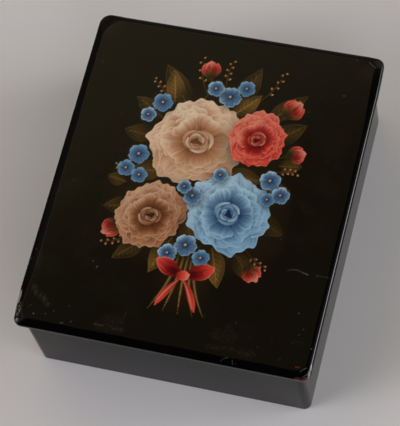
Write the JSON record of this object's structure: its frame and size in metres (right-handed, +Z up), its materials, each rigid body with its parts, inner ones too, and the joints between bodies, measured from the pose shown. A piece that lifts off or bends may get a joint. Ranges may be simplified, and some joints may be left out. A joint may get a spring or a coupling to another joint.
{
  "type": "lacquered trinket box",
  "caption": "Rectangular black lacquered keepsake box with an overhanging flat lid, rounded shoulders and a full-width back hinge.",
  "frame": {"origin": "middle of the underside, on the surface the box stands on", "axes": "+Z up, +Y from the front to the hinge, +X to the right seen from the front"},
  "size_m": [0.08, 0.093, 0.0297],
  "materials": {
    "black_lacquer": "deep gloss black lacquer over pressed paper board",
    "red_lacquer": "gloss red lacquer over pressed paper board",
    "hinge_brass": "aged brass under black lacquer",
    "pin_steel": "drawn wire"
  },
  "bodies": {
    "body": {"body_wall": "black_lacquer", "base_panel": "black_lacquer", "inner_collar": "red_lacquer", "hinge_leaf_body": "hinge_brass", "hinge_pin": "pin_steel", "leaf_pins_body": "hinge_brass"},
    "lid": {"lid_frame": "black_lacquer", "lid_panel": "black_lacquer", "hinge_leaf_lid": "hinge_brass", "leaf_pins_lid": "hinge_brass"}
  },
  "joints": [
    {"name": "lid_hinge", "type": "hinge", "parent": "body", "child": "lid", "pos_m": [0, 0.0448, 0.0251], "axis": [-1, 0, 0], "range_deg": [0, 100]}
  ]
}
